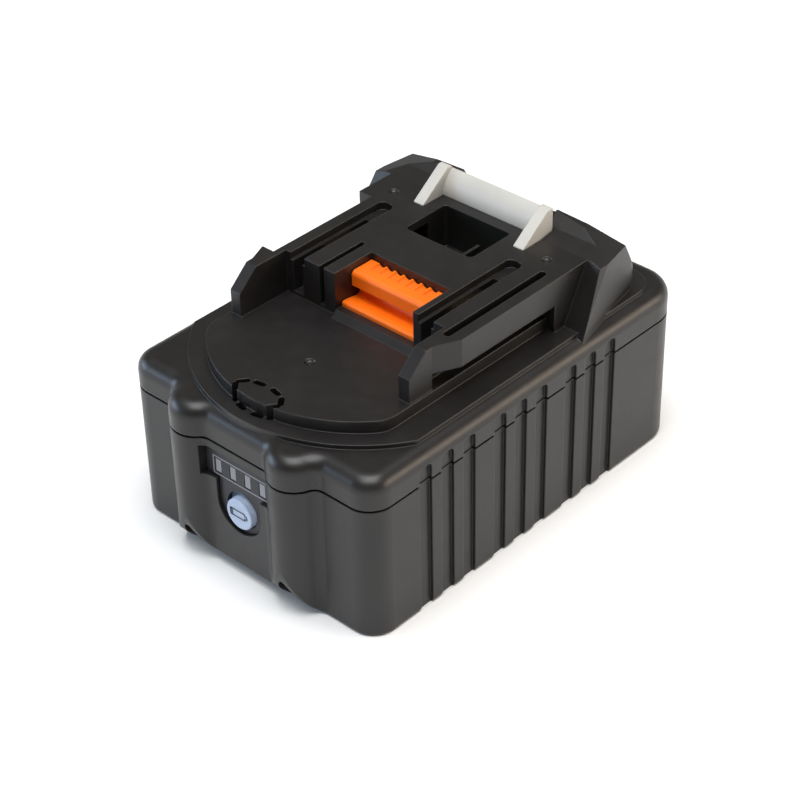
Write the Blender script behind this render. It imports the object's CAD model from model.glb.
import math

import bmesh
import bpy
from mathutils import Matrix, Vector


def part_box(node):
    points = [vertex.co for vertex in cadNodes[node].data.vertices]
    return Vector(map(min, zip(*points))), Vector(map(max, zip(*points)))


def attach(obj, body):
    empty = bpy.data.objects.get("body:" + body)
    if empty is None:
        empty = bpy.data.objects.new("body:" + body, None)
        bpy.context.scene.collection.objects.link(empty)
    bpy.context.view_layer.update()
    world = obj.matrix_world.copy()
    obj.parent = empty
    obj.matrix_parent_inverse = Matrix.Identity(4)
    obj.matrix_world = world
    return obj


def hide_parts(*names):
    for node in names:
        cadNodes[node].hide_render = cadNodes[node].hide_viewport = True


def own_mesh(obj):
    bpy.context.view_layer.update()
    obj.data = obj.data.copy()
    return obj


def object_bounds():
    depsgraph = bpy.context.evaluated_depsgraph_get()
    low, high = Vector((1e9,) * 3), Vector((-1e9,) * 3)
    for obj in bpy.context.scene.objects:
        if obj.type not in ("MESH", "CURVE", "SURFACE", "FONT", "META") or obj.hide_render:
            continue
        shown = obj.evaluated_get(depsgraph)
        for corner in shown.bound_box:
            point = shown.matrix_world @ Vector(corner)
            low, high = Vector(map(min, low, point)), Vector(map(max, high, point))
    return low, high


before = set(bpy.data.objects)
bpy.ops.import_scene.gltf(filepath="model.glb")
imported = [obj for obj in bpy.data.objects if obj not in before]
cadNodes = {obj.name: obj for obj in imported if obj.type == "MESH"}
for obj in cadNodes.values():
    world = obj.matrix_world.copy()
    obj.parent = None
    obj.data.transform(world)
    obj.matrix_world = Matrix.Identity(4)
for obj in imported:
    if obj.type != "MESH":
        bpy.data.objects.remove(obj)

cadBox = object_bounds()  # the CAD model's own box, kept for the size note
mm = 0.001
frontY = cadBox[0][1]  # foremost line of the front columns


def fromFront(run):  # Y of a place given by its distance from the foremost line
    return frontY + run


def rgb(red, green, blue):
    return (red, green, blue, 1.0)


# Sums on sockets: works for material trees and for Geometry Nodes trees alike
class Shade:
    def __init__(self, recipe, socket):
        self.recipe = recipe
        self.socket = socket

    def math(self, operation, first, second=None):
        settings = {"operation": operation}
        values = {0: first}
        if second is not None:
            values[1] = second
        return self.recipe.node("ShaderNodeMath", settings, values)

    def __add__(self, other):
        return self.math("ADD", self, other)

    def __radd__(self, other):
        return self.math("ADD", other, self)

    def __sub__(self, other):
        return self.math("SUBTRACT", self, other)

    def __rsub__(self, other):
        return self.math("SUBTRACT", other, self)

    def __mul__(self, other):
        return self.math("MULTIPLY", self, other)

    def __rmul__(self, other):
        return self.math("MULTIPLY", other, self)

    def __truediv__(self, other):
        return self.math("DIVIDE", self, other)

    def __rtruediv__(self, other):
        return self.math("DIVIDE", other, self)

    def clamped(self, low, high):
        return self.math("MINIMUM", self.math("MAXIMUM", self, low), high)


class Recipe:  # one node tree with its own short ways to add nodes
    def feed(self, socket, value):
        if isinstance(value, Shade):
            self.tree.links.new(value.socket, socket)
        else:
            socket.default_value = value

    def node(self, kind, settings=None, sockets=None, out=0):
        made = self.tree.nodes.new(kind)
        for name, value in (settings or {}).items():
            if name == "stops":
                while len(made.color_ramp.elements) < len(value):
                    made.color_ramp.elements.new(0.5)
                for element, (position, colour) in zip(made.color_ramp.elements, value):
                    element.position = position
                    element.color = colour
            else:
                setattr(made, name, value)
        for name, value in (sockets or {}).items():
            for one in value if isinstance(value, list) else [value]:
                self.feed(made.inputs[name], one)
        return Shade(self, made.outputs[out])


class Finish(Recipe):  # one material
    def __init__(self, name, **constants):
        self.material = bpy.data.materials.new(name)
        self.material.use_nodes = True
        self.tree = self.material.node_tree
        self.shader = self.tree.nodes["Principled BSDF"]
        for socketName, value in constants.items():
            self.shader.inputs[socketName.replace("_", " ")].default_value = value
        self.place = self.node("ShaderNodeTexCoord", out="Object")

    def noise(self, size, detail=3.0, rough=0.5, place=None):
        sockets = {
            "Vector": place or self.place,
            "Scale": 1 / size,
            "Detail": detail,
            "Roughness": rough,
        }
        return self.node("ShaderNodeTexNoise", {"noise_dimensions": "3D"}, sockets, out="Fac")

    def spread(self, value, low, high, newLow, newHigh):
        return self.node(
            "ShaderNodeMapRange",
            {"clamp": True, "interpolation_type": "SMOOTHSTEP"},
            {
                "Value": value,
                "From Min": low,
                "From Max": high,
                "To Min": newLow,
                "To Max": newHigh,
            },
        )

    def mixed(self, share, first, second):
        sockets = {0: share, 6: first, 7: second}
        return self.node("ShaderNodeMix", {"data_type": "RGBA"}, sockets, out=2)

    def stretched(self, factors):  # object coordinates drawn out along an axis
        sockets = {0: self.place, 1: factors}
        return self.node("ShaderNodeVectorMath", {"operation": "MULTIPLY"}, sockets)

    def softEdge(self, radius, samples=6):
        return self.node("ShaderNodeBevel", {"samples": samples}, {"Radius": radius}, out="Normal")

    def edgeShare(self, softNormal, start, full):  # 0 on flats, 1 where a soft edge turns away
        plain = self.node("ShaderNodeNewGeometry", out="Normal")
        product, sockets = {"operation": "DOT_PRODUCT"}, {0: softNormal, 1: plain}
        facing = self.node("ShaderNodeVectorMath", product, sockets, out="Value")
        return self.spread(1 - facing, start, full, 0.0, 1.0)

    def bump(self, height, distance, normal):
        sockets = {"Height": height, "Distance": distance, "Strength": 1.0, "Normal": normal}
        return self.node("ShaderNodeBump", {}, sockets, out="Normal")

    def finish(self, **links):
        for name, value in links.items():
            self.feed(self.shader.inputs[name.replace("_", " ")], value)
        return self.material


class Growth(Recipe):  # one Geometry Nodes tree with named number inputs
    def __init__(self, name, sizes):
        self.tree = bpy.data.node_groups.new(name, "GeometryNodeTree")
        face = self.tree.interface
        face.new_socket("Geometry", in_out="INPUT", socket_type="NodeSocketGeometry")
        self.sockets = {
            label: face.new_socket(label, in_out="INPUT", socket_type="NodeSocketFloat")
            for label in sizes
        }
        face.new_socket("Geometry", in_out="OUTPUT", socket_type="NodeSocketGeometry")
        self.sizes = sizes
        self.start = self.tree.nodes.new("NodeGroupInput")
        self.end = self.tree.nodes.new("NodeGroupOutput")
        self.base = Shade(self, self.start.outputs["Geometry"])

    def size(self, label):
        return Shade(self, self.start.outputs[label])

    def vector(self, x=0.0, y=0.0, z=0.0):
        return self.node("ShaderNodeCombineXYZ", {}, {0: x, 1: y, 2: z})

    def moved(self, geometry, **places):
        return self.node("GeometryNodeTransform", {}, {"Geometry": geometry, **places})

    def cutAway(self, geometry, tools):
        settings = {"operation": "DIFFERENCE", "solver": "EXACT"}
        return self.node("GeometryNodeMeshBoolean", settings, {"Mesh 1": geometry, "Mesh 2": tools})

    def swept(self, path, section):
        sockets = {"Curve": path, "Profile Curve": section, "Fill Caps": True}
        return self.node("GeometryNodeCurveToMesh", {}, sockets)

    def copied(self, places, geometry):
        sockets = {"Points": places, "Instance": geometry}
        return self.node("GeometryNodeInstanceOnPoints", {}, sockets)

    def grow(self, name, seed, geometry, material):  # runs the tree, gives a plain mesh piece
        real = self.node("GeometryNodeRealizeInstances", {}, {"Geometry": geometry})
        done = self.node("GeometryNodeSetMaterial", {}, {"Geometry": real, "Material": material})
        self.tree.links.new(done.socket, self.end.inputs["Geometry"])
        holder = bpy.data.objects.new(name + "Seed", seed)
        bpy.context.scene.collection.objects.link(holder)
        modifier = holder.modifiers.new("growth", "NODES")
        modifier.node_group = self.tree
        for label, value in self.sizes.items():
            modifier[self.sockets[label].identifier] = value
        graph = bpy.context.evaluated_depsgraph_get()
        mesh = bpy.data.meshes.new_from_object(holder.evaluated_get(graph), depsgraph=graph)
        bpy.data.objects.remove(holder)
        mesh.name = name
        piece = bpy.data.objects.new(name, mesh)
        bpy.context.scene.collection.objects.link(piece)
        return piece


def seedPoints(name, places):
    mesh = bpy.data.meshes.new(name)
    mesh.from_pydata(places, [], [])
    return mesh


# Moulded plastics
def mouldedPlastic(name, look):
    made = Finish(name, IOR=look["ior"])
    soft = made.softEdge(look["edgeRadius"])
    edge = made.edgeShare(soft, *look["edgeRange"])
    grain = made.noise(look["grainSize"], detail=4.0, rough=0.6)
    patches = made.noise(look["patchSize"], rough=0.55)
    streaks = made.noise(look["patchSize"] * look["streakSize"], detail=5.0, rough=0.7)
    patchShare = made.spread(patches, *look["patchRange"], 0.0, 1.0)
    tone = made.mixed(patchShare, rgb(*look["colour"]), rgb(*look["colourAlt"]))
    worn = made.mixed(edge * look["edgeWear"], tone, rgb(*look["edgeColour"]))
    rough = made.spread(streaks, *look["streakRange"], look["roughLow"], look["roughHigh"])
    rough = rough + edge * look["edgeRough"]
    normal = made.bump(grain + streaks * look["streakDepth"], look["grainDepth"], soft)
    return made.finish(Base_Color=worn, Roughness=rough, Normal=normal)


caseLook = {
    "ior": 1.48,
    "edgeRadius": 0.4 * mm,
    "edgeRange": (0.01, 0.25),
    "grainSize": 0.3 * mm,
    "grainDepth": 0.006 * mm,
    "patchSize": 16 * mm,
    "patchRange": (0.35, 0.7),
    "streakSize": 0.25,
    "streakRange": (0.3, 0.75),
    "streakDepth": 0.25,
    "colour": (0.0095, 0.0085, 0.0085),
    "colourAlt": (0.0125, 0.0112, 0.0108),
    "edgeColour": (0.05, 0.05, 0.052),
    "edgeWear": 0.3,
    "edgeRough": -0.03,
    "roughLow": 0.34,
    "roughHigh": 0.40,
}
lowerLook = dict(
    caseLook, roughLow=0.37, roughHigh=0.43, grainSize=0.35 * mm, grainDepth=0.008 * mm
)
latchLook = dict(
    caseLook,
    edgeRadius=0.5 * mm,
    grainSize=0.5 * mm,
    grainDepth=0.004 * mm,
    colour=(0.50, 0.485, 0.45),
    colourAlt=(0.55, 0.53, 0.49),
    edgeColour=(0.66, 0.64, 0.60),
    edgeWear=0.5,
    roughLow=0.36,
    roughHigh=0.44,
)
thumbLook = dict(caseLook, edgeRadius=0.35 * mm, roughLow=0.38, roughHigh=0.48)
orangeLook = dict(
    caseLook,
    edgeRadius=0.25 * mm,
    grainSize=0.4 * mm,
    grainDepth=0.004 * mm,
    colour=(0.88, 0.15, 0.002),
    colourAlt=(0.93, 0.165, 0.003),
    edgeColour=(0.98, 0.26, 0.02),
    edgeWear=0.5,
    roughLow=0.40,
    roughHigh=0.48,
)
buttonLook = dict(
    caseLook,
    edgeRadius=0.2 * mm,
    grainDepth=0.003 * mm,
    colour=(0.37, 0.455, 0.62),
    colourAlt=(0.41, 0.49, 0.65),
    edgeColour=(0.52, 0.60, 0.74),
    roughLow=0.42,
    roughHigh=0.5,
)
guideLook = dict(
    caseLook,
    edgeRadius=0.1 * mm,
    grainDepth=0.003 * mm,
    colour=(0.20, 0.205, 0.23),
    colourAlt=(0.24, 0.245, 0.27),
    edgeColour=(0.30, 0.30, 0.33),
    roughLow=0.35,
    roughHigh=0.45,
)
panelLook = dict(
    caseLook,
    edgeRadius=0.12 * mm,
    grainSize=0.12 * mm,
    grainDepth=0.005 * mm,
    colour=(0.013, 0.013, 0.018),
    colourAlt=(0.016, 0.016, 0.021),
    roughLow=0.45,
    roughHigh=0.55,
)
frameLook = dict(latchLook, colour=(0.50, 0.50, 0.48), colourAlt=(0.55, 0.55, 0.53))
foamLook = dict(caseLook, grainSize=0.5 * mm, grainDepth=0.2 * mm, roughLow=0.85, roughHigh=0.95)
sheetLook = dict(panelLook, colour=(0.12, 0.125, 0.13), colourAlt=(0.15, 0.155, 0.16))
chipLook = dict(panelLook, colour=(0.02, 0.02, 0.02), colourAlt=(0.03, 0.03, 0.03))
boardLook = dict(panelLook, colour=(0.01, 0.10, 0.04), colourAlt=(0.02, 0.13, 0.05))
ribbonLook = dict(panelLook, colour=(0.5, 0.22, 0.03), colourAlt=(0.6, 0.28, 0.05))
sleeveLook = dict(latchLook, colour=(0.05, 0.16, 0.32), colourAlt=(0.06, 0.19, 0.36))
printLook = dict(
    guideLook,
    colour=(0.22, 0.23, 0.27),
    colourAlt=(0.25, 0.26, 0.30),
    edgeWear=0.0,
    roughLow=0.5,
    roughHigh=0.6,
)
iconLook = dict(printLook, colour=(0.055, 0.065, 0.085), colourAlt=(0.065, 0.075, 0.10))


# Metals
def brushedMetal(name, look):
    made = Finish(name, Metallic=1.0)
    soft = made.softEdge(look["edgeRadius"])
    drawn = made.stretched(look["stretch"])
    lines = made.noise(look["lineSize"], detail=6.0, rough=0.7, place=drawn)
    spots = made.noise(look["spotSize"], rough=0.6)
    tone = made.mixed(spots, rgb(*look["colour"]), rgb(*look["colourAlt"]))
    rough = made.spread(lines, *look["lineRange"], look["roughLow"], look["roughHigh"])
    normal = made.bump(lines, look["lineDepth"], soft)
    return made.finish(Base_Color=tone, Roughness=rough, Normal=normal)


steelLook = {
    "edgeRadius": 0.1 * mm,
    "stretch": (0.2, 1.0, 3.0),
    "lineSize": 0.2 * mm,
    "lineRange": (0.3, 0.7),
    "lineDepth": 0.003 * mm,
    "spotSize": 2.5 * mm,
    "colour": (0.45, 0.45, 0.47),
    "colourAlt": (0.55, 0.55, 0.56),
    "roughLow": 0.25,
    "roughHigh": 0.4,
}
brassLook = dict(steelLook, colour=(0.72, 0.60, 0.36), colourAlt=(0.78, 0.68, 0.45))
nickelLook = dict(steelLook, colour=(0.55, 0.54, 0.50), colourAlt=(0.62, 0.61, 0.57))
screwLook = dict(steelLook, colour=(0.18, 0.18, 0.19), colourAlt=(0.25, 0.25, 0.26))

upperPlastic = mouldedPlastic("upperCasePlastic", caseLook)
orangePlastic = mouldedPlastic("connectorPlastic", orangeLook)
buttonPlastic = mouldedPlastic("checkButtonPlastic", buttonLook)
springSteel = brushedMetal("springSteel", steelLook)
screwSteel = brushedMetal("screwSteel", screwLook)
finishes = {
    "lower_case": mouldedPlastic("lowerCasePlastic", lowerLook),
    "upper_case": upperPlastic,
    "release_latch": mouldedPlastic("latchPlastic", latchLook),
    "latch_button": mouldedPlastic("thumbPlastic", thumbLook),
    "latch_tray": upperPlastic,
    "connector_housing": orangePlastic,
    "gauge_panel": mouldedPlastic("gaugePanelFilm", panelLook),
    "light_guide": mouldedPlastic("lightGuidePlastic", guideLook),
    "check_button": buttonPlastic,
    "cell_frame": mouldedPlastic("cellFramePlastic", frameLook),
    "insulator": mouldedPlastic("insulatingCard", sheetLook),
    "foam_pads": mouldedPlastic("foamPad", foamLook),
    "board_parts": mouldedPlastic("chipPlastic", chipLook),
    "main_board": mouldedPlastic("boardCoating", boardLook),
    "gauge_board": mouldedPlastic("gaugeBoardCoating", boardLook),
    "gauge_ribbon": mouldedPlastic("ribbonFilm", ribbonLook),
    "cell_": mouldedPlastic("cellSleeve", sleeveLook),
    "gauge_leds": mouldedPlastic("lampPlastic", guideLook),
    "connector_contacts": brushedMetal("contactMetal", brassLook),
    "terminal_": brushedMetal("terminalMetal", brassLook),
    "latch_spring": springSteel,
    "button_switch": brushedMetal("switchSteel", steelLook),
    "strip_": brushedMetal("stripNickel", nickelLook),
    "case_screws": screwSteel,
    "board_screws": screwSteel,
}
for nodeName, cadNode in cadNodes.items():
    key = max((start for start in finishes if nodeName.startswith(start)), key=len)
    cadNode.data.materials.clear()
    cadNode.data.materials.append(finishes[key])
print("finishes on", len(cadNodes), "nodes")

# Screws with a threaded shank and a cross recess, four in the case and four in the board
caseScrewSizes = {
    "head radius": 2.6 * mm,
    "head taper": 0.82,
    "head height": 1.8 * mm,
    "shank radius": 1.25 * mm,
    "length": 19.0 * mm,
    "thread pitch": 1.1 * mm,
    "thread height": 0.2 * mm,
    "thread share": 0.8,
    "thread start": 0.17,
    "recess width": 0.55 * mm,
    "recess reach": 4.6,
    "recess depth": 0.9 * mm,
}
screwSides = {"head": 32, "shank": 20, "thread turn": 16, "ridge": 4}
caseScrewPlaces = {
    "seat": 20.0 * mm,
    "frontX": 15.0 * mm,
    "frontRun": 3.3 * mm,
    "rearX": 31.0 * mm,
    "rearRun": 107.9 * mm,
}


def screwPieces(name, places, sizes, material):
    tree = Growth(name + "Tree", sizes)
    headRadius, headHeight = tree.size("head radius"), tree.size("head height")
    length, depth = tree.size("length"), tree.size("recess depth")
    headSizes = {
        "Vertices": screwSides["head"],
        "Radius Top": headRadius,
        "Radius Bottom": headRadius * tree.size("head taper"),
        "Depth": headHeight,
    }
    low = tree.vector(z=0 - headHeight)
    head = tree.moved(tree.node("GeometryNodeMeshCone", {}, headSizes), Translation=low)
    width = tree.size("recess width")
    reach = width * tree.size("recess reach")
    bars = []
    for across, along in ((width, reach), (reach, width)):
        bar = tree.node("GeometryNodeMeshCube", {}, {"Size": tree.vector(across, along, depth * 2)})
        bars.append(tree.moved(bar, Translation=low))
    shankSizes = {
        "Vertices": screwSides["shank"],
        "Radius": tree.size("shank radius"),
        "Depth": length,
    }
    shank = tree.node("GeometryNodeMeshCylinder", {}, shankSizes)
    shank = tree.moved(shank, Translation=tree.vector(z=length * 0.5))
    threadLength = length * tree.size("thread share")
    helixSizes = {
        "Resolution": screwSides["thread turn"],
        "Rotations": threadLength / tree.size("thread pitch"),
        "Start Radius": tree.size("shank radius"),
        "End Radius": tree.size("shank radius"),
        "Height": threadLength,
    }
    helix = tree.node("GeometryNodeCurveSpiral", {}, helixSizes)
    ridgeSizes = {"Resolution": screwSides["ridge"], "Radius": tree.size("thread height")}
    ridge = tree.node("GeometryNodeCurvePrimitiveCircle", {}, ridgeSizes)
    thread = tree.swept(helix, ridge)
    thread = tree.moved(thread, Translation=tree.vector(z=length * tree.size("thread start")))
    parts = {"Geometry": [tree.cutAway(head, bars), shank, thread]}
    whole = tree.node("GeometryNodeJoinGeometry", {}, parts)
    placed = tree.copied(tree.base, whole)
    return tree.grow(name, seedPoints(name + "Places", places), placed, material)


seat = caseScrewPlaces["seat"]
frontPlace = fromFront(caseScrewPlaces["frontRun"])
rearPlace = fromFront(caseScrewPlaces["rearRun"])
casePoints = [
    (side * caseScrewPlaces[end + "X"], place, seat)
    for end, place in (("front", frontPlace), ("rear", rearPlace))
    for side in (-1, 1)
]
caseScrews = screwPieces("caseScrews", casePoints, caseScrewSizes, screwSteel)
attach(caseScrews, "pack")
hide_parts("case_screws")

boardScrewSizes = dict(
    caseScrewSizes,
    **{
        "head radius": 1.7 * mm,
        "head height": 0.8 * mm,
        "shank radius": 0.8 * mm,
        "length": 4.2 * mm,
        "thread pitch": 0.7 * mm,
        "thread height": 0.13 * mm,
        "recess width": 0.4 * mm,
        "recess depth": 0.45 * mm,
    },
)
boardLow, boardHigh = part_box("board_screws")
headRadius = boardScrewSizes["head radius"]
boardSeat = boardLow.z + boardScrewSizes["head height"]
boardPoints = [
    (x, y, boardSeat)
    for x in (boardLow.x + headRadius, boardHigh.x - headRadius)
    for y in (boardLow.y + headRadius, boardHigh.y - headRadius)
]
boardScrews = screwPieces("boardScrews", boardPoints, boardScrewSizes, screwSteel)
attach(boardScrews, "pack")
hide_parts("board_screws")
print("screws made")

# Latch springs: one wire on a helix with closed ends, pressed together with the latch
springLow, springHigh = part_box("latch_spring_left")
springSizes = {
    "radius": 2.4 * mm,
    "wire": 0.6 * mm,
    "turns": 7.0,
    "height": springHigh.z - springLow.z,
}
springSides = {"turn": 24, "wire": 10}


def springPieces(name, places, sizes, material):
    tree = Growth(name + "Tree", sizes)
    wire, turns, height = tree.size("wire"), tree.size("turns"), tree.size("height")
    radius = tree.size("radius")
    helixSizes = {
        "Resolution": springSides["turn"],
        "Rotations": turns,
        "Start Radius": radius,
        "End Radius": radius,
        "Height": height,
    }
    helix = tree.node("GeometryNodeCurveSpiral", {}, helixSizes)
    turn = tree.node("GeometryNodeSplineParameter", out="Factor") * turns
    opened = ((turn - 1.0) / (turns - 2.0)).clamped(0.0, 1.0)
    rise = wire * turn.clamped(0.0, 1.0) + wire * (turn - turns + 1.0).clamped(0.0, 1.0)
    rise = rise + (height - wire * 3.0) * opened + wire * 0.5
    place = tree.node("GeometryNodeInputPosition")
    level = {0: place, 1: (1.0, 1.0, 0.0)}
    flat = tree.node("ShaderNodeVectorMath", {"operation": "MULTIPLY"}, level)
    raised = {0: flat, 1: tree.vector(z=rise)}
    lifted = tree.node("ShaderNodeVectorMath", {"operation": "ADD"}, raised)
    path = tree.node("GeometryNodeSetPosition", {}, {"Geometry": helix, "Position": lifted})
    wireSizes = {"Resolution": springSides["wire"], "Radius": wire * 0.5}
    section = tree.node("GeometryNodeCurvePrimitiveCircle", {}, wireSizes)
    placed = tree.copied(tree.base, tree.swept(path, section))
    return tree.grow(name, seedPoints(name + "Places", places), placed, material)


springNames = ("latch_spring_left", "latch_spring_right")
springPoints = []
for springName in springNames:
    low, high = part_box(springName)
    springPoints.append(((low.x + high.x) / 2, (low.y + high.y) / 2, low.z))
latchSprings = springPieces("latchSprings", springPoints, springSizes, springSteel)
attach(latchSprings, "pack")
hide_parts(*springNames)
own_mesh(latchSprings)
print("springs made")

# Connector housing: a low lip, a round trough and a block with seven round channels in its top
housingSizes = {
    "blockRun": 49.1 * mm,
    "blockTop": 55.3 * mm,
    "blockThickness": 3.7 * mm,
    "chinRun": 45.7 * mm,
    "lipTop": 48.9 * mm,
    "lipThickness": 1.6 * mm,
    "troughDepth": 1.2 * mm,
    "troughBottom": 48.4 * mm,
    "lipRound": 0.6 * mm,
    "blockRound": 1.2 * mm,
    "steps": 8,
}
channelSizes = {
    "count": 7.0,
    "pitch": 2.63 * mm,
    "middle x": 2.9 * mm,
    "radius": 1.1 * mm,
    "lift": 0.4 * mm,
    "front run": 52.4 * mm,
    "length": 8.0 * mm,
}
channelSides = 24


def arcPoints(centreY, centreZ, reach, start, end, steps):  # angles in degrees
    turns = [math.radians(start + (end - start) * step / steps) for step in range(steps + 1)]
    return [(centreY + reach * math.cos(turn), centreZ + reach * math.sin(turn)) for turn in turns]


def profileMesh(name, outline, x0, x1):  # a closed outline in Y and Z, drawn out from x0 to x1
    mesh = bpy.data.meshes.new(name)
    work = bmesh.new()
    near = [work.verts.new((x0, y, z)) for y, z in outline]
    far = [work.verts.new((x1, y, z)) for y, z in outline]
    work.faces.new(near)
    work.faces.new(list(reversed(far)))
    for place in range(len(outline)):
        following = (place + 1) % len(outline)
        work.faces.new((near[following], near[place], far[place], far[following]))
    bmesh.ops.recalc_face_normals(work, faces=work.faces)
    work.to_mesh(mesh)
    work.free()
    return mesh


def housingOutline(sizes, bottom, rear):
    blockY = fromFront(sizes["blockRun"])
    chinY = fromFront(sizes["chinRun"])
    blockBottom = sizes["blockTop"] - sizes["blockThickness"]
    troughRadius = (blockBottom - sizes["troughBottom"]) / 2
    troughY = blockY + sizes["troughDepth"]
    troughZ = sizes["troughBottom"] + troughRadius
    steps, lip, brow = sizes["steps"], sizes["lipRound"], sizes["blockRound"]
    points = [(chinY, bottom)]
    points += arcPoints(chinY + lip, sizes["lipTop"] - lip, lip, 180, 90, steps)
    points += [(chinY + sizes["lipThickness"], sizes["lipTop"])]
    points += arcPoints(troughY, troughZ, troughRadius, -90, 90, 2 * steps)
    points += [(blockY, blockBottom)]
    points += arcPoints(blockY + brow, sizes["blockTop"] - brow, brow, 180, 90, steps)
    points += [(rear, sizes["blockTop"]), (rear, bottom)]
    return points


housingLow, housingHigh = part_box("connector_housing")
outline = housingOutline(housingSizes, housingLow.z, housingHigh.y)
housingSeed = profileMesh("housingSeed", outline, housingLow.x, housingHigh.x)
channels = Growth("connectorChannels", channelSizes)
length = channels.size("length")
toolSizes = {"Vertices": channelSides, "Radius": channels.size("radius"), "Depth": length}
tool = channels.node("GeometryNodeMeshCylinder", {}, toolSizes)
tool = channels.moved(tool, Rotation=(math.pi / 2, 0.0, 0.0))
tool = channels.moved(tool, Translation=channels.vector(y=length * 0.5))
count, pitch = channels.size("count"), channels.size("pitch")
firstPlace = channels.vector(
    channels.size("middle x") - (count - 1.0) * pitch * 0.5,
    channels.size("front run") + frontY,
    channels.size("lift") + housingSizes["blockTop"],
)
lineSizes = {"Count": count, "Start Location": firstPlace, "Offset": channels.vector(pitch)}
toolPlaces = channels.node("GeometryNodeMeshLine", {}, lineSizes)
tools = channels.copied(toolPlaces, tool)
tools = channels.node("GeometryNodeRealizeInstances", {}, {"Geometry": tools})
carved = channels.cutAway(channels.base, tools)
housing = channels.grow("connectorHousing", housingSeed, carved, orangePlastic)
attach(housing, "pack")
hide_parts("connector_housing")
print("connector housing made")

# Contacts: blades moulded into the housing
bladeSizes = {
    "count": 5,
    "middle": 2.9 * mm,
    "pitch": 3.8 * mm,
    "thickness": 0.5 * mm,
    "run": 52.9 * mm,
    "length": 1.6 * mm,
    "top": 49.6 * mm,
    "bevel": 0.1 * mm,
}
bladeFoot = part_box("connector_contacts")[0].z
bladeMesh = bpy.data.meshes.new("connectorBlades")
bladeWork = bmesh.new()
bladeY = fromFront(bladeSizes["run"]) + bladeSizes["length"] / 2
bladeZ = (bladeFoot + bladeSizes["top"]) / 2
bladeSize = Vector(
    (bladeSizes["thickness"], bladeSizes["length"], bladeSizes["top"] - bladeFoot)
)
for number in range(bladeSizes["count"]):
    x = bladeSizes["middle"] + (number - (bladeSizes["count"] - 1) / 2) * bladeSizes["pitch"]
    matrix = Matrix.LocRotScale(Vector((x, bladeY, bladeZ)), None, bladeSize)
    bmesh.ops.create_cube(bladeWork, size=1.0, matrix=matrix)
bmesh.ops.bevel(
    bladeWork, geom=bladeWork.edges[:], offset=bladeSizes["bevel"], segments=2, affect="EDGES"
)
bladeWork.to_mesh(bladeMesh)
bladeWork.free()
bladeMesh.materials.append(finishes["connector_contacts"])
blades = bpy.data.objects.new("connectorBlades", bladeMesh)
bpy.context.scene.collection.objects.link(blades)
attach(blades, "pack")
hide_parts("connector_contacts")
print("contacts made")

# Check button: a turned cap with a soft crown, its flange and stem behind the panel
buttonSizes = {
    "centreZ": 17.9 * mm,
    "faceRun": 2.75 * mm,
    "radius": 3.9 * mm,
    "crown": 0.35 * mm,
    "rim": 0.25 * mm,
    "dish": 0.12 * mm,
    "dishShare": 0.55,
    "capRoom": 1.0 * mm,  # these three are distances from the rear end of the stem
    "flangeFront": 0.95 * mm,
    "flangeRear": 0.35 * mm,
    "stemRadius": 1.6 * mm,
    "segments": 72,
    "steps": 5,
}


def turnedMesh(name, profile, centreX, centreZ, segments):  # (run, radius) turned about a Y line
    mesh = bpy.data.meshes.new(name)
    work = bmesh.new()
    rings = []
    for run, reach in profile:
        ring = []
        for number in range(segments):
            turn = 2 * math.pi * number / segments
            x, z = centreX + reach * math.cos(turn), centreZ + reach * math.sin(turn)
            ring.append(work.verts.new((x, fromFront(run), z)))
        rings.append(ring)
    for near, far in zip(rings, rings[1:]):
        for number in range(segments):
            following = (number + 1) % segments
            work.faces.new((near[number], near[following], far[following], far[number]))
    work.faces.new(rings[0])
    work.faces.new(rings[-1])
    bmesh.ops.recalc_face_normals(work, faces=work.faces)
    for face in work.faces:
        face.smooth = len(face.verts) == 4
    work.to_mesh(mesh)
    work.free()
    return mesh


buttonLow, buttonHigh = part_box("check_button")
flangeRadius = (buttonHigh.x - buttonLow.x) / 2
buttonRear = buttonHigh.y - frontY
faceRun, crown, reach = buttonSizes["faceRun"], buttonSizes["crown"], buttonSizes["radius"]
profile = [(faceRun + buttonSizes["dish"], reach * buttonSizes["dishShare"])]
profile += [(faceRun, reach - crown - buttonSizes["rim"])]
for step in range(buttonSizes["steps"] + 1):
    turn = math.pi / 2 * step / buttonSizes["steps"]
    profile.append((faceRun + crown * (1 - math.cos(turn)), reach - crown + crown * math.sin(turn)))
profile += [
    (buttonRear - buttonSizes["capRoom"], reach),
    (buttonRear - buttonSizes["flangeFront"], flangeRadius),
    (buttonRear - buttonSizes["flangeRear"], flangeRadius),
    (buttonRear - buttonSizes["flangeRear"], buttonSizes["stemRadius"]),
    (buttonRear, buttonSizes["stemRadius"]),
]
capMesh = turnedMesh("checkCap", profile, 0.0, buttonSizes["centreZ"], buttonSizes["segments"])
capMesh.materials.append(buttonPlastic)
checkCap = bpy.data.objects.new("checkCap", capMesh)
bpy.context.scene.collection.objects.link(checkCap)
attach(checkCap, "button")
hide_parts("check_button")
print("check button made")

# Printed marks: thin plates that lie on the panel and on the button
printSizes = {
    "thickness": 0.03 * mm,
    "line": 0.3 * mm,
    "low": (-8.4 * mm, 24.9 * mm),
    "high": (8.5 * mm, 29.9 * mm),
    "nubWidth": 0.85 * mm,
    "nubHeight": 2.3 * mm,
}
iconSizes = {
    "line": 0.26 * mm,
    "low": (-2.7 * mm, 16.9 * mm),
    "high": (1.9 * mm, 18.9 * mm),
    "nubWidth": 0.7 * mm,
    "nubHeight": 1.0 * mm,
    "barWidth": 0.75 * mm,
}


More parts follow.
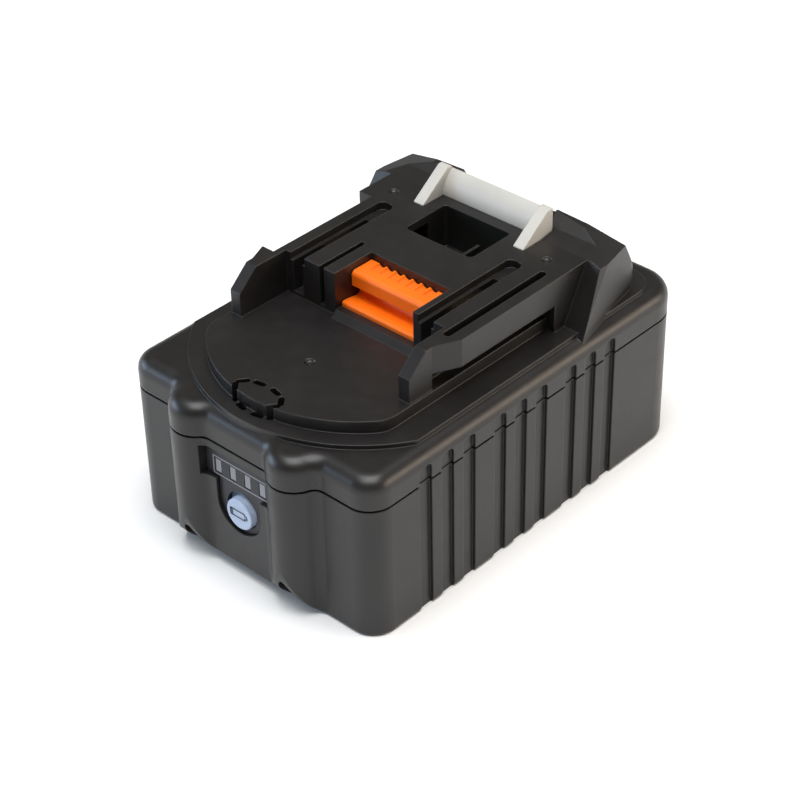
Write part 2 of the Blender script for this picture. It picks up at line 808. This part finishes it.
def frontPlates(name, rectangles, frontPlace, thickness, material, body):
    mesh = bpy.data.meshes.new(name)
    work = bmesh.new()
    for x0, z0, x1, z1 in rectangles:
        middle = Vector(((x0 + x1) / 2, frontPlace + thickness / 2, (z0 + z1) / 2))
        size = Vector((x1 - x0, thickness, z1 - z0))
        bmesh.ops.create_cube(work, size=1.0, matrix=Matrix.LocRotScale(middle, None, size))
    work.to_mesh(mesh)
    work.free()
    mesh.materials.append(material)
    piece = bpy.data.objects.new(name, mesh)
    bpy.context.scene.collection.objects.link(piece)
    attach(piece, body)
    return piece


def batteryOutline(sizes):  # bars of one closed line round a body and its nub
    (x0, z0), (x1, z1), line = sizes["low"], sizes["high"], sizes["line"]
    middle = (z0 + z1) / 2
    half = sizes["nubHeight"] / 2
    tip = x1 + sizes["nubWidth"]
    return [
        (x0, z0, x1, z0 + line),
        (x0, z1 - line, x1, z1),
        (x0, z0 + line, x0 + line, z1 - line),
        (x1 - line, z0 + line, x1, middle - half + line),
        (x1 - line, middle + half - line, x1, z1 - line),
        (x1, middle - half, tip, middle - half + line),
        (x1, middle + half - line, tip, middle + half),
        (tip - line, middle - half + line, tip, middle + half - line),
    ]


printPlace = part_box("gauge_panel")[0].y - printSizes["thickness"]
frontPlates(
    "gaugeOutlinePrint",
    batteryOutline(printSizes),
    printPlace,
    printSizes["thickness"],
    mouldedPlastic("printedGrey", printLook),
    "pack",
)
iconPlace = fromFront(buttonSizes["faceRun"]) - printSizes["thickness"] / 2
iconBars = batteryOutline(iconSizes)
barX, barLow = iconSizes["low"]
barHigh = iconSizes["high"][1]
iconBars.append((barX, barLow, barX + iconSizes["barWidth"], barHigh))
frontPlates(
    "checkButtonIcon",
    iconBars,
    iconPlace,
    printSizes["thickness"],
    mouldedPlastic("printedDark", iconLook),
    "button",
)
print("prints made")

# Camera: the photograph's own place, angle and framing
photoCamera = {
    "azimuth": 43.36,
    "elevation": 35.61,
    "roll": -1.306,
    "aim": (0.0, 0.0057, 0.030),
    "slide": (0.004714, 0.010771),
    "distance": 0.4985,
    "focal": 96.67,
    "sensor": 36.0,
}


def aimCamera(sizes):
    azimuth = math.radians(sizes["azimuth"])
    elevation = math.radians(sizes["elevation"])
    roll = math.radians(sizes["roll"])
    back = Vector(
        (
            math.sin(azimuth) * math.cos(elevation),
            -math.cos(azimuth) * math.cos(elevation),
            math.sin(elevation),
        )
    )
    level = (-back).cross(Vector((0, 0, 1))).normalized()
    upright = level.cross(-back)
    right = level * math.cos(roll) + upright * math.sin(roll)
    up = upright * math.cos(roll) - level * math.sin(roll)
    slideX, slideY = sizes["slide"]
    place = Vector(sizes["aim"]) - right * slideX - up * slideY + back * sizes["distance"]
    data = bpy.data.cameras.new("photoCamera")
    data.sensor_width = sizes["sensor"]
    data.lens = sizes["focal"]
    camera = bpy.data.objects.new("photoCamera", data)
    turned = Matrix((right, up, back)).transposed().to_4x4()
    camera.matrix_world = Matrix.Translation(place) @ turned
    bpy.context.scene.collection.objects.link(camera)
    bpy.context.scene.camera = camera


aimCamera(photoCamera)

# Floor: plain pale paper
floorSizes = {
    "half": 3.0,
    "patch": 0.4,
    "rough": 0.85,
    "colour": (0.92, 0.92, 0.92),
    "colourAlt": (0.90, 0.90, 0.90),
}
half = floorSizes["half"]
corners = [(-half, -half, 0), (half, -half, 0), (half, half, 0), (-half, half, 0)]
floorMesh = bpy.data.meshes.new("studioFloor")
floorMesh.from_pydata(corners, [], [(0, 1, 2, 3)])
floorPaper = Finish("studioPaper", Roughness=floorSizes["rough"])
floorPatches = floorPaper.noise(floorSizes["patch"])
floorShade = floorPaper.mixed(
    floorPatches, rgb(*floorSizes["colour"]), rgb(*floorSizes["colourAlt"])
)
floorMesh.materials.append(floorPaper.finish(Base_Color=floorShade))
floor = bpy.data.objects.new("studioFloor", floorMesh)
bpy.context.scene.collection.objects.link(floor)

# Studio air: dark at the height that the flat tops mirror, paler low down and straight above
airLook = {
    "strength": 0.72,
    "stops": [
        (0.0, rgb(1.0, 1.0, 1.0)),
        (0.10, rgb(0.75, 0.77, 0.80)),
        (0.26, rgb(0.24, 0.235, 0.19)),
        (0.62, rgb(0.20, 0.19, 0.15)),
        (0.88, rgb(0.8, 0.8, 0.8)),
        (1.0, rgb(1.0, 1.0, 1.0)),
    ],
}


class Air(Recipe):
    def __init__(self, name):
        self.world = bpy.data.worlds.new(name)
        self.world.use_nodes = True
        self.tree = self.world.node_tree


air = Air("studioAir")
split = air.tree.nodes.new("ShaderNodeSeparateXYZ")
air.feed(split.inputs[0], air.node("ShaderNodeTexCoord", out="Generated"))
height = Shade(air, split.outputs["Z"])
shades = air.node("ShaderNodeValToRGB", {"stops": airLook["stops"]}, {0: height})
glow = air.tree.nodes["Background"]
air.feed(glow.inputs["Color"], shades)
air.feed(glow.inputs["Strength"], airLook["strength"])
bpy.context.scene.world = air.world

# Lights, all turned to the middle of the pack
lightAim = Vector((0.0, 0.0, 0.03))
softboxes = {
    "overheadSoftbox": {
        "place": (0.15, -0.15, 1.5),
        "size": (1.2, 1.2),
        "power": 25.0,
        "colour": (1.0, 1.0, 1.0),
    },
    "windowLight": {
        "place": (-1.1, -0.7, 0.35),
        "size": (0.9, 0.5),
        "power": 8.5,
        "colour": (0.62, 0.78, 1.0),
    },
    "roomLight": {
        "place": (1.0, 0.75, 0.4),
        "size": (0.9, 0.5),
        "power": 8.0,
        "colour": (1.0, 0.84, 0.68),
    },
}
for name, sizes in softboxes.items():
    data = bpy.data.lights.new(name, "AREA")
    data.shape = "RECTANGLE"
    data.size, data.size_y = sizes["size"]
    data.energy = sizes["power"]
    data.color = sizes["colour"]
    lamp = bpy.data.objects.new(name, data)
    place = Vector(sizes["place"])
    turned = (lightAim - place).to_track_quat("-Z", "Y").to_matrix().to_4x4()
    lamp.matrix_world = Matrix.Translation(place) @ turned
    bpy.context.scene.collection.objects.link(lamp)
bpy.context.scene.view_settings.view_transform = "Standard"
print("camera, floor and lights set")
